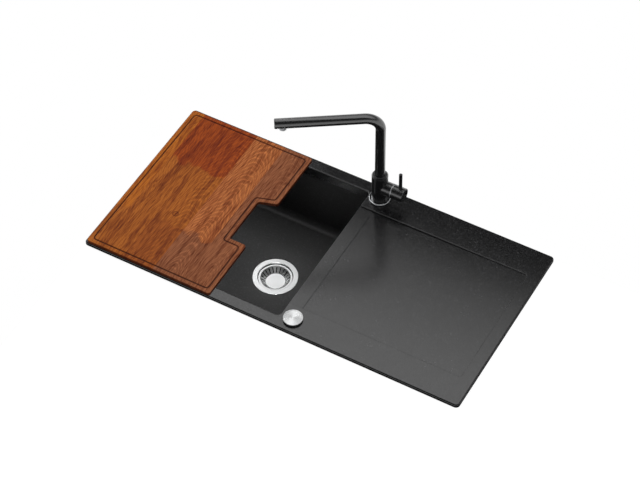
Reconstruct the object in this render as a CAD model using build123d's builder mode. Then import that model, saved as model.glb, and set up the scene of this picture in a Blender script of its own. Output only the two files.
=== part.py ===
from build123d import *
import os
from math import asin, atan2, cos, degrees, radians, sin, tan

# Kitchen sink cast in granite composite, with its tap, pop-up waste and a chopping board on the rim.
# Millimetres. z = 0 is the worktop surface under the rim and the origin is the middle of the cut-out.
# x runs along the sink towards the drainer, y runs towards the wall.

# Cast sink
sink_length = 1000.0
sink_width = 500.0
sink_corner_radius = 10.0
rim_height = 8.0
rim_edge_radius = 3.5
seat_width = 13.0
slab_drop = 6.0

# Bowl
bowl_left_margin = 32.5
bowl_side_margin = 32.0
bowl_length = 487.0
bowl_depth = 190.0
bowl_draft = 3.3
bowl_mouth_corner = 10.0
bowl_floor_corner = 26.0
bowl_floor_radius = 20.0
bowl_mouth_radius = 3.0
bowl_wall = 9.0
bowl_floor = 11.0

# Spillway strip and drainer tray
spillway_width = 34.5
spillway_depth = 4.0
drainer_right_margin = 33.0
drainer_front_margin = 78.0
drainer_back_margin = 80.0
drainer_near_depth = 5.5
drainer_far_depth = 2.5
drainer_corner_radius = 8.0
drainer_edge_radius = 1.8

# Clamps under the worktop
worktop_thickness = 38.0
clamp_inset = 19.0
clamp_from_corner = 85.0
clamp_wall_gap = 1.25
clamp_boss_radius = 7.0
clamp_boss_length = 16.0
clamp_screw_radius = 3.0
clamp_head_radius = 5.5
clamp_head_height = 4.0
clamp_screw_bite = 12.0
clamp_hole_spare = 1.0
claw_width = 18.0
claw_thickness = 2.5
claw_lip = 2.0
claw_reach = 17.0
claw_heel = 5.5

# Waste and strainer
drain_from_bowl_right = 150.5
drain_offset_y = 12.0
drain_hole_radius = 45.5
flange_radius = 57.0
flange_thickness = 1.6
flange_seat_gap = 0.8
flange_gasket_thickness = 1.0
flange_gasket_inset = 1.0
cup_radius = 43.5
cup_wall = 1.2
cup_depth = 28.0
cup_lip_radius = 29.5
flange_edge_radius = 1.0
waste_gasket_thickness = 2.5
waste_flange_radius = 54.0
waste_flange_thickness = 4.0
waste_bore_radius = 46.0
waste_bottom_chamfer = 3.0
waste_wall = 3.0
waste_depth = 48.0
waste_floor = 3.0
outlet_radius = 23.9
outlet_bore_radius = 20.0
outlet_length = 42.0
waste_screw_circle = 38.2
waste_screw_count = 3
waste_screw_radius = 2.5
waste_screw_head_radius = 4.0
waste_screw_head_height = 2.6
waste_screw_length = 22.0
waste_post_radius = 5.0
hose_spigot_radius = 11.0
hose_spigot_bore = 8.5
hose_spigot_length = 28.0
hose_collar_radius = 13.0
hose_collar_length = 5.0

# Basket and its pop-up mechanism
basket_rim_radius = 42.2
basket_rim_drop = 4.0
basket_mouth_radius = 37.5
basket_floor_radius = 24.0
basket_depth = 14.0
basket_sheet = 1.0
basket_slots = 22
basket_slot_width = 2.6
basket_slot_length = 11.0
basket_stem_radius = 6.0
seal_plate_radius = 30.0
seal_plate_thickness = 1.2
stem_below_seal = 1.5
seal_radius = 33.0
seal_thickness = 3.0
lift_travel = 8.0
lift_pin_radius = 4.0
lift_pin_foot_radius = 6.0
lift_pin_foot_height = 2.0
lift_pin_length = 21.0
guide_radius = 7.0
guide_length = 7.0
guide_bar_width = 8.0
rocker_tip_arm = 24.0
rocker_width = 8.0
rocker_tip_radius = 3.0
rocker_arm_height = 4.2
cable_eye_radius = 1.25
rocker_hub_radius = 4.5
rocker_pin_radius = 2.0
rocker_lug_thickness = 4.0
cable_bore_radius = 2.5
gland_radius = 5.0
gland_neck_radius = 4.0
gland_length = 16.0

# Push button of the waste
control_from_bowl = 33.0
control_from_front = 38.0
press_travel = 3.0
button_radius = 23.6
button_thickness = 1.6
button_edge_radius = 0.7
button_skirt = 1.0
button_skirt_drop = 1.0
button_border = 2.6
button_recess = 0.4
plunger_pocket_radius = 10.4
plunger_pocket_depth = 10.0
plunger_radius = 12.8
plunger_length = 24.0
sleeve_radius = 16.0
sleeve_flange_radius = 22.0
sleeve_flange_thickness = 1.0
sleeve_length = 54.0
sleeve_floor = 4.0
control_gasket_thickness = 0.5
control_washer_thickness = 2.0
control_washer_radius = 20.0
control_nut_radius = 22.0
control_nut_height = 8.0
spring_wire_radius = 0.8
spring_radius = 9.0
spring_turns = 5
hole_radius = 17.5

# Tap fixing
tap_from_bowl = 30.0
tap_from_back = 38.0
tap_gasket_thickness = 1.0
tap_gasket_radius = 25.0
base_ring_radius = 26.5
base_ring_height = 5.0
base_ring_edge = 2.0
tap_spigot_radius = 15.9
tap_spigot_length = 14.0
stud_radius = 3.0
stud_offset = 10.5
stud_length = 62.0
stud_socket = 14.0
horseshoe_radius = 20.0
horseshoe_slot = 10.5
horseshoe_slot_offset = 6.0
horseshoe_washer_thickness = 2.0
horseshoe_plate_thickness = 2.5
stud_nut_flats = 10.0
stud_nut_height = 5.0
inlet_radius = 4.0
inlet_depth = 12.0
inlet_channel_radius = 3.0
inlet_spread = 5.6
inlet_offset = 4.0

# Tap body and spout
tap_body_radius = 20.0
tap_body_top = 87.0
tap_shoulder = 3.0
spout_radius = 12.5
spout_wall = 3.0
spout_height = 282.0
spout_bend = 38.0
spout_reach = 248.0
spout_turn = 33.4
spout_end_wall = 3.0
spout_end_radius = 2.5
spout_socket_depth = 23.0
bush_wall = 2.0
bush_height = 9.0
o_ring_radius = 0.9
o_ring_heights = (3.0, 12.0)
retaining_groove_height = 7.5
retaining_groove_width = 4.6
retaining_groove_depth = 1.2
spout_screw_radius = 2.0
spout_screw_recess = 1.0
aerator_radius = 8.8
aerator_from_end = 20.0
aerator_drop = 5.0
aerator_insertion = 5.5
aerator_wall = 1.8
aerator_sheet = 1.4
aerator_hole_radius = 0.9
aerator_hole_circles = (2.4, 4.7)
aerator_hole_counts = (6, 12)

# Mixer arm, cartridge and lever, measured along the arm from the tap's axis
arm_height = 46.0
arm_radius = 18.0
arm_length = 34.0
cartridge_radius = 14.0
cartridge_depth = 36.0
cartridge_base = 3.5
disc_radius = 12.0
disc_thickness = 3.5
disc_port_radius = 2.5
disc_port_circle = 7.0
disc_ports = 3
nut_thread_radius = 16.0
nut_thread_length = 8.0
nut_ring_radius = 16.2
nut_ring_length = 2.5
nut_nose_length = 1.5
nut_bore_radius = 9.6
rotor_radius = 9.2
rotor_length = 20.0
rotor_base = 6.5
stem_size = 6.0
stem_slot_gap = 0.2
stem_tail = 6.0
pivot_from_tap = 23.0
pivot_pin_radius = 2.0
hub_gap = 3.2
hub_radius = 18.3
hub_wall = 1.8
hub_length = 29.8
hub_cup_depth = 7.0
hub_edge_radius = 1.6
stem_grip = 16.0
lever_pin_radius = 4.35
lever_pin_from_tap = 55.8
lever_pin_top = 116.0
lever_pin_seat = 12.0
lever_pin_chamfer = 0.8
set_screw_radius = 2.5
set_screw_from_tap = 52.0
set_screw_recess = 2.5

# Overflow on the bowl wall below the drainer
overflow_drop = 52.0
overflow_hole_radius = 14.0
overflow_cover_radius = 21.0
overflow_cover_thickness = 2.0
overflow_cover_edge = 1.0
overflow_spigot_length = 6.0
overflow_spigot_gap = 0.4
overflow_gasket_thickness = 2.0
overflow_flange_thickness = 3.0
overflow_chamber_radius = 16.5
overflow_chamber_length = 28.0
overflow_wall = 3.0
overflow_screw_radius = 2.5
overflow_screw_head_radius = 5.0
overflow_screw_head_height = 2.0
overflow_screw_head_edge = 1.5
overflow_holes = 8
overflow_vent_radius = 2.3
overflow_vent_circle = 8.0
overflow_bridge_width = 6.0
overflow_bridge_depth = 6.0
overflow_boss_radius = 4.5

# Chopping board
board_left_gap = 7.0
board_front_gap = 2.0
board_length = 341.0
board_depth = 487.0
board_thickness = 10.0
board_corner_radius = 6.0
notch_front_radius = 4.0
board_edge_radius = 1.2
notch_depth = 46.0
notch_from_front = 169.0
notch_width = 133.0
notch_slant = 15.0
notch_back_radius = 9.0
groove_inset = 11.5
groove_corner_radius = 8.0
groove_radius = 2.4
groove_depth = 1.8

# Clearances: fixed pieces in their holes, moving pieces in their bores, and pieces that meet when they move
fit_gap = 0.05
running_gap = 0.1
contact_gap = 0.2
overrun = 1.0
same_place = 0.01

# Places worked out from the driving dimensions
deck_z = rim_height
underside_z = -slab_drop
floor_z = deck_z - bowl_depth
bowl_bottom_z = floor_z - bowl_floor
bowl_width = sink_width - 2 * bowl_side_margin
bowl_left_x = bowl_left_margin - sink_length / 2
bowl_right_x = bowl_left_x + bowl_length
bowl_x = bowl_left_x + bowl_length / 2
drain_x = bowl_right_x - drain_from_bowl_right
tap_x = bowl_right_x + tap_from_bowl
tap_y = sink_width / 2 - tap_from_back
control_x = bowl_right_x + control_from_bowl
control_y = control_from_front - sink_width / 2

drain_section = Plane(origin=(drain_x, drain_offset_y, 0), x_dir=(1, 0, 0), z_dir=(0, -1, 0))
drain_axis = Axis((drain_x, drain_offset_y, 0), (0, 0, 1))
control_section = Plane(origin=(control_x, control_y, deck_z), x_dir=(1, 0, 0), z_dir=(0, -1, 0))
control_axis = Axis((control_x, control_y, 0), (0, 0, 1))
tap_section = Plane(origin=(tap_x, tap_y, deck_z), x_dir=(1, 0, 0), z_dir=(0, -1, 0))
tap_axis = Axis((tap_x, tap_y, 0), (0, 0, 1))
arm_origin = (tap_x, tap_y, deck_z + arm_height)
arm_section = Plane(origin=arm_origin, x_dir=(0, 0, 1), z_dir=(0, 1, 0))
arm_axis = Axis(arm_origin, (1, 0, 0))
arm_plane = Plane(origin=arm_origin, x_dir=(0, 1, 0), z_dir=(1, 0, 0))

os.makedirs("parts", exist_ok=True)


def lathe(section, axis, points, mode=Mode.ADD):
    """Turn a closed outline of (radius, height) points about an axis in the section's plane."""
    with BuildSketch(section) as outline:
        with BuildLine():
            Polyline(*points, close=True)
        make_face()
    revolve(outline.sketch, axis=axis, mode=mode)


def ring_points(inner, outer, low, high):
    """The section of a plain ring or sleeve."""
    return [(inner, low), (outer, low), (outer, high), (inner, high)]


def save(piece, name):
    """Label a finished piece and write its STEP file."""
    piece.part.label = name
    export_step(piece.part, f"parts/{name}.step")


# Bowl: the hollow and the wall around it, both drawn in towards the floor by the draft.
def bowl_block(length, width, depth, mouth_corner, floor_corner, floor_radius):
    """A tapered block under the deck with its lower edges rounded."""
    draw_in = depth * tan(radians(bowl_draft))
    with BuildPart() as block:
        with BuildSketch(Plane.XY.offset(deck_z)):
            with Locations((bowl_x, 0)):
                RectangleRounded(length, width, mouth_corner)
        with BuildSketch(Plane.XY.offset(deck_z - depth)):
            with Locations((bowl_x, 0)):
                RectangleRounded(length - 2 * draw_in, width - 2 * draw_in, floor_corner)
        loft(ruled=True)
        fillet(block.faces().sort_by(Axis.Z)[0].edges(), floor_radius)
    return block.part


bowl_hollow = bowl_block(
    bowl_length, bowl_width, bowl_depth, bowl_mouth_corner, bowl_floor_corner, bowl_floor_radius
)
bowl_shell = bowl_block(
    bowl_length + 2 * bowl_wall,
    bowl_width + 2 * bowl_wall,
    bowl_depth + bowl_floor,
    bowl_mouth_corner + bowl_wall,
    bowl_floor_corner + bowl_wall,
    bowl_floor_radius + bowl_wall,
)

# Drainer: a tray that falls towards the bowl, and the lower strip that lets the water over into it.
drainer_left_x = bowl_right_x + spillway_width
drainer_right_x = sink_length / 2 - drainer_right_margin
drainer_front_y = drainer_front_margin - sink_width / 2
drainer_back_y = sink_width / 2 - drainer_back_margin
drainer_section = Plane(origin=(0, drainer_back_y, deck_z), x_dir=(1, 0, 0), z_dir=(0, -1, 0))
with BuildPart() as drainer_hollow:
    with BuildSketch(drainer_section):
        with BuildLine():
            Polyline(
                (bowl_right_x - bowl_wall, rim_height),
                (bowl_right_x - bowl_wall, -spillway_depth),
                (drainer_left_x, -spillway_depth),
                (drainer_left_x, -drainer_near_depth),
                (drainer_right_x, -drainer_far_depth),
                (drainer_right_x, rim_height),
                close=True,
            )
        make_face()
    extrude(amount=drainer_back_y - drainer_front_y)
    right_corners = drainer_hollow.edges().filter_by(Axis.Z).group_by(Axis.X)[-1]
    fillet(right_corners, drainer_corner_radius)

# Clamps: two beside the bowl and two beside the drainer on each long side, and one at each end.
# Beside the bowl their claws stand clear of its wall, which the draft draws in at their height.
claw_z = -worktop_thickness - claw_lip - claw_thickness
claw_wall = bowl_wall - (deck_z - claw_z - claw_thickness) * tan(radians(bowl_draft))
clamp_from_bowl = claw_wall + clamp_wall_gap + claw_heel
clamp_y = bowl_width / 2 + clamp_from_bowl
clamp_left_x = bowl_left_x - clamp_from_bowl
clamp_right_x = sink_length / 2 - clamp_inset
clamp_row = [bowl_left_x + clamp_from_corner, bowl_right_x - clamp_from_corner]
clamp_row += [drainer_left_x + clamp_from_corner, drainer_right_x - clamp_from_corner]
clamp_places = [(x, -clamp_y, -90) for x in clamp_row]
clamp_places += [(x, clamp_y, 90) for x in clamp_row]
clamp_places += [(clamp_left_x, 0, 180), (clamp_right_x, 0, 0)]
clamp_points = [(x, y) for x, y, turn in clamp_places]

# Overflow: its plane lies on the bowl's right wall, facing into the bowl.
overflow_wall_x = bowl_right_x - overflow_drop * tan(radians(bowl_draft))
overflow_plane = Plane(
    origin=(overflow_wall_x, 0, deck_z - overflow_drop),
    x_dir=(0, 1, 0),
    z_dir=(-cos(radians(bowl_draft)), 0, sin(radians(bowl_draft))),
)
overflow_back = overflow_plane.offset(-bowl_wall * cos(radians(bowl_draft)))
flange_seat_depth = flange_gasket_thickness + flange_thickness

with BuildPart() as sink_body:
    with BuildSketch(Plane.XY):
        RectangleRounded(sink_length, sink_width, sink_corner_radius)
    extrude(amount=rim_height)
    fillet(sink_body.edges().group_by(Axis.Z)[-1], rim_edge_radius)
    with BuildSketch(Plane.XY):
        RectangleRounded(sink_length - 2 * seat_width, sink_width - 2 * seat_width, sink_corner_radius)
    extrude(amount=-slab_drop)
    add(bowl_shell)
    with BuildSketch(Plane.XY.offset(underside_z)):
        with Locations(*clamp_points):
            Circle(clamp_boss_radius)
    extrude(amount=-clamp_boss_length)
    add(bowl_hollow, mode=Mode.SUBTRACT)
    top_face = sink_body.faces().filter_by(Axis.Z).sort_by(Axis.Z)[-1]
    mouth_edges = top_face.inner_wires()[0].edges()
    fillet(mouth_edges, bowl_mouth_radius)
    add(drainer_hollow.part, mode=Mode.SUBTRACT)
    top_face = sink_body.faces().filter_by(Axis.Z).sort_by(Axis.Z)[-1]
    tray_edges = top_face.inner_wires()[0].edges().filter_by(lambda e: e.center().X > drainer_left_x)
    fillet(tray_edges, drainer_edge_radius)
    with BuildSketch(Plane.XY.offset(underside_z - clamp_boss_length)):
        with Locations(*clamp_points):
            Circle(clamp_screw_radius + fit_gap)
    extrude(amount=clamp_screw_bite + clamp_hole_spare, mode=Mode.SUBTRACT)
    with BuildSketch(Plane.XY.offset(deck_z)):
        with Locations((tap_x, tap_y), (control_x, control_y)):
            Circle(hole_radius)
    extrude(amount=-rim_height - slab_drop, mode=Mode.SUBTRACT)
    lathe(
        drain_section,
        drain_axis,
        ring_points(0, flange_radius + flange_seat_gap, floor_z - flange_seat_depth, floor_z + overrun),
        Mode.SUBTRACT,
    )
    drain_hole = ring_points(0, drain_hole_radius, bowl_bottom_z - overrun, floor_z)
    lathe(drain_section, drain_axis, drain_hole, Mode.SUBTRACT)
    with BuildSketch(overflow_plane.offset(overrun)):
        Circle(overflow_hole_radius)
    extrude(amount=-bowl_wall - 2 * overrun, mode=Mode.SUBTRACT)
save(sink_body, "sink_body")

# Clamps: a bent steel claw bears on the worktop from below, drawn up by a screw in the casting's boss.
boss_end_z = underside_z - clamp_boss_length
with BuildPart() as clamp_claws:
    for x, y, turn in clamp_places:
        out_x = cos(radians(turn))
        out_y = sin(radians(turn))
        claw_section = Plane(origin=(x, y, claw_z), x_dir=(out_x, out_y, 0), z_dir=(out_y, -out_x, 0))
        with BuildSketch(claw_section):
            with BuildLine():
                Polyline(
                    (-claw_heel, 0),
                    (claw_reach, 0),
                    (claw_reach, claw_thickness + claw_lip),
                    (claw_reach - claw_thickness, claw_thickness + claw_lip),
                    (claw_reach - claw_thickness, claw_thickness),
                    (-claw_heel, claw_thickness),
                    close=True,
                )
            make_face()
        extrude(amount=claw_width / 2, both=True)
    with BuildSketch(Plane.XY.offset(claw_z)):
        with Locations(*clamp_points):
            Circle(clamp_screw_radius + contact_gap)
    extrude(amount=claw_thickness, mode=Mode.SUBTRACT)
save(clamp_claws, "clamp_claws")

with BuildPart() as clamp_screws:
    with BuildSketch(Plane.XY.offset(claw_z)):
        with Locations(*clamp_points):
            Circle(clamp_screw_radius)
    extrude(amount=boss_end_z + clamp_screw_bite - claw_z)
    with BuildSketch(Plane.XY.offset(claw_z)):
        with Locations(*clamp_points):
            RegularPolygon(clamp_head_radius, 6)
    extrude(amount=-clamp_head_height)
save(clamp_screws, "clamp_screws")

# Strainer flange: pressed stainless steel, flush in its seat, with the cup that holds the basket.
flange_low_z = floor_z - flange_thickness
lip_top_z = floor_z - cup_depth
lip_low_z = lip_top_z - cup_wall
cup_outer_radius = cup_radius + cup_wall
with BuildPart() as strainer_flange:
    lathe(
        drain_section,
        drain_axis,
        [
            (cup_lip_radius, lip_low_z),
            (cup_outer_radius, lip_low_z),
            (cup_outer_radius, flange_low_z),
            (flange_radius, flange_low_z),
            (flange_radius, floor_z),
            (cup_radius, floor_z),
            (cup_radius, lip_top_z),
            (cup_lip_radius, lip_top_z),
        ],
    )
    fillet(strainer_flange.edges().group_by(Axis.Z)[-1], flange_edge_radius)
    with BuildSketch(Plane(origin=(drain_x, drain_offset_y, lip_top_z))):
        with PolarLocations(waste_screw_circle, waste_screw_count, start_angle=90):
            Circle(waste_screw_radius + contact_gap)
    extrude(amount=-cup_wall, mode=Mode.SUBTRACT)
save(strainer_flange, "strainer_flange")

seat_z = floor_z - flange_seat_depth
with BuildPart() as flange_gasket:
    gasket_outer = flange_radius - flange_gasket_inset
    lathe(drain_section, drain_axis, ring_points(drain_hole_radius, gasket_outer, seat_z, flange_low_z))
save(flange_gasket, "flange_gasket")

# Waste: a moulded pot clamped under the bowl floor, with the outlet below and the overflow inlet beside it.
waste_top_z = bowl_bottom_z - waste_gasket_thickness
waste_floor_z = waste_top_z - waste_depth
waste_low_z = waste_floor_z - waste_floor
waste_radius = waste_bore_radius + waste_wall
outlet_end_z = waste_low_z - outlet_length
with BuildPart() as waste_gasket:
    waste_seal = ring_points(waste_bore_radius, waste_flange_radius, waste_top_z, bowl_bottom_z)
    lathe(drain_section, drain_axis, waste_seal)
save(waste_gasket, "waste_gasket")

# Pop-up levels, from the basket's seat down to the rocker that pushes it up.
seal_low_z = lip_top_z + contact_gap
seal_top_z = seal_low_z + seal_thickness
stem_low_z = seal_low_z - stem_below_seal
pin_top_z = stem_low_z - contact_gap
pin_low_z = pin_top_z - lift_pin_length
guide_low_z = pin_low_z + lift_pin_foot_height + lift_travel + 2 * contact_gap
rocker_angle = degrees(asin(lift_travel / 2 / rocker_tip_arm))
rocker_cable_arm = rocker_tip_arm * press_travel / lift_travel
pivot_y = drain_offset_y - rocker_tip_arm * cos(radians(rocker_angle))
pivot_z = pin_low_z - contact_gap - rocker_tip_radius + lift_travel / 2
lug_x = rocker_width / 2 + contact_gap
rocker_pin_length = 2 * (lug_x + rocker_lug_thickness)
cable_y = pivot_y - rocker_cable_arm * cos(radians(rocker_angle))
spigot_z = (waste_top_z + waste_floor_z) / 2
spigot_reach = waste_wall + hose_collar_length + hose_spigot_length
spigot_plane = Plane(origin=(drain_x + waste_bore_radius, drain_offset_y, spigot_z), z_dir=(1, 0, 0))
with BuildPart() as waste_body:
    lathe(
        drain_section,
        drain_axis,
        [
            (outlet_bore_radius, outlet_end_z),
            (outlet_radius, outlet_end_z),
            (outlet_radius, waste_low_z),
            (waste_radius - waste_bottom_chamfer, waste_low_z),
            (waste_radius, waste_low_z + waste_bottom_chamfer),
            (waste_radius, waste_top_z - waste_flange_thickness),
            (waste_flange_radius, waste_top_z - waste_flange_thickness),
            (waste_flange_radius, waste_top_z),
            (waste_bore_radius, waste_top_z),
            (waste_bore_radius, waste_floor_z),
            (outlet_bore_radius, waste_floor_z),
        ],
    )
    with BuildSketch(Plane(origin=(drain_x, drain_offset_y, waste_floor_z))):
        with PolarLocations(waste_screw_circle, waste_screw_count, start_angle=90):
            Circle(waste_post_radius)
    extrude(amount=lip_low_z - waste_floor_z)
    with BuildSketch(Plane(origin=(drain_x, drain_offset_y, guide_low_z))):
        Rectangle(guide_bar_width, 2 * waste_bore_radius + waste_wall)
        Circle(guide_radius)
    extrude(amount=guide_length)
    with BuildSketch(Plane(origin=(drain_x, pivot_y, waste_floor_z))):
        with Locations((lug_x + rocker_lug_thickness / 2, 0), (-lug_x - rocker_lug_thickness / 2, 0)):
            Rectangle(rocker_lug_thickness, 2 * rocker_hub_radius)
    extrude(amount=pivot_z + rocker_hub_radius - waste_floor_z)
    with BuildSketch(spigot_plane):
        Circle(hose_collar_radius)
    extrude(amount=waste_wall + hose_collar_length)
    with BuildSketch(spigot_plane):
        Circle(hose_spigot_radius)
    extrude(amount=spigot_reach)
    with BuildSketch(spigot_plane.offset(-overrun)):
        Circle(hose_spigot_bore)
    extrude(amount=spigot_reach + overrun, mode=Mode.SUBTRACT)
    lathe(drain_section, drain_axis, ring_points(0, waste_bore_radius, lip_low_z, waste_top_z), Mode.SUBTRACT)
    outlet_bore = ring_points(0, outlet_bore_radius, outlet_end_z, waste_floor_z)
    lathe(drain_section, drain_axis, outlet_bore, Mode.SUBTRACT)
    with BuildSketch(Plane(origin=(drain_x, drain_offset_y, lip_low_z))):
        with PolarLocations(waste_screw_circle, waste_screw_count, start_angle=90):
            Circle(waste_screw_radius + fit_gap)
    extrude(amount=-waste_screw_length, mode=Mode.SUBTRACT)
    with BuildSketch(Plane(origin=(drain_x, drain_offset_y, guide_low_z))):
        Circle(lift_pin_radius + running_gap)
    extrude(amount=guide_length, mode=Mode.SUBTRACT)
    with BuildSketch(Plane(origin=(drain_x, pivot_y, pivot_z), z_dir=(1, 0, 0))):
        Circle(rocker_pin_radius + fit_gap)
    extrude(amount=rocker_pin_length, both=True, mode=Mode.SUBTRACT)
    with BuildSketch(Plane(origin=(drain_x, cable_y, waste_low_z))):
        Circle(gland_neck_radius + fit_gap)
    extrude(amount=waste_floor, mode=Mode.SUBTRACT)
save(waste_body, "waste_body")

with BuildPart() as waste_screws:
    with BuildSketch(Plane(origin=(drain_x, drain_offset_y, lip_top_z))):
        with PolarLocations(waste_screw_circle, waste_screw_count, start_angle=90):
            Circle(waste_screw_radius)
    extrude(amount=-waste_screw_length)
    with BuildSketch(Plane(origin=(drain_x, drain_offset_y, lip_top_z))):
        with PolarLocations(waste_screw_circle, waste_screw_count, start_angle=90):
            Circle(waste_screw_head_radius)
    extrude(amount=waste_screw_head_height)
save(waste_screws, "waste_screws")

waste_gland_section = Plane(origin=(drain_x, cable_y, waste_low_z), x_dir=(1, 0, 0), z_dir=(0, -1, 0))
waste_gland_axis = Axis((drain_x, cable_y, 0), (0, 0, 1))
with BuildPart() as waste_cable_gland:
    lathe(
        waste_gland_section,
        waste_gland_axis,
        [
            (cable_bore_radius, -gland_length),
            (gland_radius, -gland_length),
            (gland_radius, 0),
            (gland_neck_radius, 0),
            (gland_neck_radius, waste_floor),
            (cable_bore_radius, waste_floor),
        ],
    )
save(waste_cable_gland, "waste_cable_gland")

# Strainer basket: a pressed cone with a ring of slots, and the seal that closes the cup's lip below it.
basket_top_z = floor_z - basket_rim_drop
basket_floor_z = basket_top_z - basket_depth
cone_lean = atan2(basket_mouth_radius - basket_floor_radius, basket_depth)
cone_shift = basket_sheet * (1 / cos(cone_lean) - tan(cone_lean))
with BuildPart() as strainer_basket:
    lathe(
        drain_section,
        drain_axis,
        [
            (0, basket_floor_z),
            (basket_floor_radius, basket_floor_z),
            (basket_mouth_radius, basket_top_z),
            (basket_rim_radius, basket_top_z),
            (basket_rim_radius, basket_top_z - basket_sheet),
            (basket_mouth_radius + cone_shift, basket_top_z - basket_sheet),
            (basket_floor_radius + cone_shift, basket_floor_z - basket_sheet),
            (0, basket_floor_z - basket_sheet),
        ],
    )
    with BuildSketch(Plane(origin=(drain_x, drain_offset_y, basket_top_z))):
        with PolarLocations((basket_mouth_radius + basket_floor_radius) / 2, basket_slots):
            SlotOverall(basket_slot_length, basket_slot_width)
    extrude(amount=-basket_depth - 2 * basket_sheet, mode=Mode.SUBTRACT)
    lathe(
        drain_section,
        drain_axis,
        [
            (0, stem_low_z),
            (basket_stem_radius, stem_low_z),
            (basket_stem_radius, seal_top_z),
            (seal_plate_radius, seal_top_z),
            (seal_plate_radius, seal_top_z + seal_plate_thickness),
            (basket_stem_radius, seal_top_z + seal_plate_thickness),
            (basket_stem_radius, basket_floor_z - basket_sheet),
            (0, basket_floor_z - basket_sheet),
        ],
    )
save(strainer_basket, "strainer_basket")

with BuildPart() as basket_seal:
    seal = ring_points(basket_stem_radius + fit_gap, seal_radius, seal_low_z, seal_top_z)
    lathe(drain_section, drain_axis, seal)
save(basket_seal, "basket_seal")

# Lift pin: slides in the waste's guide, and its foot stops it from leaving upwards.
with BuildPart() as lift_pin:
    lathe(
        drain_section,
        drain_axis,
        [
            (0, pin_low_z),
            (lift_pin_foot_radius, pin_low_z),
            (lift_pin_foot_radius, pin_low_z + lift_pin_foot_height),
            (lift_pin_radius, pin_low_z + lift_pin_foot_height),
            (lift_pin_radius, pin_top_z),
            (0, pin_top_z),
        ],
    )
save(lift_pin, "lift_pin")

# Rocker: the cable pulls its short arm down, and its tip raises the lift pin.
rocker_plane = Plane(
    origin=(drain_x, pivot_y, pivot_z),
    x_dir=(0, cos(radians(rocker_angle)), -sin(radians(rocker_angle))),
    z_dir=(1, 0, 0),
)
with BuildPart() as lift_rocker:
    with BuildSketch(rocker_plane):
        with Locations(((rocker_tip_arm - rocker_cable_arm) / 2, 0)):
            Rectangle(rocker_tip_arm + rocker_cable_arm, rocker_arm_height)
        Circle(rocker_hub_radius)
        with Locations((rocker_tip_arm, 0), (-rocker_cable_arm, 0)):
            Circle(rocker_tip_radius)
        Circle(rocker_pin_radius + running_gap, mode=Mode.SUBTRACT)
        with Locations((-rocker_cable_arm, 0)):
            Circle(cable_eye_radius, mode=Mode.SUBTRACT)
    extrude(amount=rocker_width / 2, both=True)
save(lift_rocker, "lift_rocker")

with BuildPart() as rocker_pin:
    with BuildSketch(Plane(origin=(drain_x, pivot_y, pivot_z), z_dir=(1, 0, 0))):
        Circle(rocker_pin_radius)
    extrude(amount=rocker_pin_length / 2, both=True)
save(rocker_pin, "rocker_pin")

# Overflow: a perforated cover inside the bowl, screwed through the wall to the elbow outside.
overflow_spigot_radius = overflow_hole_radius - overflow_spigot_gap
with BuildPart() as overflow_cover:
    with BuildSketch(overflow_plane):
        Circle(overflow_cover_radius)
    extrude(amount=overflow_cover_thickness)
    fillet(overflow_cover.edges().sort_by(Axis.X)[0], overflow_cover_edge)
    with BuildSketch(overflow_plane):
        Circle(overflow_spigot_radius)
        Circle(overflow_spigot_radius - overflow_cover_thickness, mode=Mode.SUBTRACT)
    extrude(amount=-overflow_spigot_length)
    with BuildSketch(overflow_plane):
        Circle(overflow_screw_radius + contact_gap)
        with PolarLocations(overflow_vent_circle, overflow_holes):
            Circle(overflow_vent_radius)
    extrude(amount=overflow_cover_thickness, mode=Mode.SUBTRACT)
save(overflow_cover, "overflow_cover")

with BuildPart() as overflow_gasket:
    with BuildSketch(overflow_back):
        Circle(overflow_cover_radius)
        Circle(overflow_hole_radius, mode=Mode.SUBTRACT)
    extrude(amount=-overflow_gasket_thickness)
save(overflow_gasket, "overflow_gasket")

elbow_plane = overflow_back.offset(-overflow_gasket_thickness)
elbow_bore_radius = overflow_chamber_radius - overflow_wall
elbow_mid = elbow_plane.from_local_coords((0, 0, -overflow_chamber_length / 2))
spout_down = Plane(origin=elbow_mid, x_dir=(0, 1, 0), z_dir=elbow_plane.y_dir)
collar_drop = overflow_chamber_radius + hose_collar_length
elbow_drop = collar_drop + hose_spigot_length
with BuildPart() as overflow_elbow:
    with BuildSketch(elbow_plane):
        Circle(overflow_cover_radius)
    extrude(amount=-overflow_flange_thickness)
    with BuildSketch(elbow_plane):
        Circle(overflow_chamber_radius)
    extrude(amount=-overflow_chamber_length)
    fillet(overflow_elbow.edges().sort_by(Axis.X)[-1], overflow_wall / 2)
    with BuildSketch(spout_down):
        Circle(hose_collar_radius)
    extrude(amount=collar_drop)
    with BuildSketch(spout_down):
        Circle(hose_spigot_radius)
    extrude(amount=elbow_drop)
    with BuildSketch(elbow_plane):
        Circle(elbow_bore_radius)
    extrude(amount=-overflow_chamber_length + overflow_wall, mode=Mode.SUBTRACT)
    with BuildSketch(spout_down):
        Circle(hose_spigot_bore)
    extrude(amount=elbow_drop, mode=Mode.SUBTRACT)
    with BuildSketch(elbow_plane.offset(-overflow_flange_thickness)):
        Rectangle(2 * overflow_chamber_radius - overflow_wall, overflow_bridge_width)
        Circle(overflow_boss_radius)
    extrude(amount=-overflow_bridge_depth)
    with BuildSketch(elbow_plane):
        Circle(overflow_screw_radius + fit_gap)
    extrude(amount=-overflow_flange_thickness - overflow_bridge_depth, mode=Mode.SUBTRACT)
save(overflow_elbow, "overflow_elbow")

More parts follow.
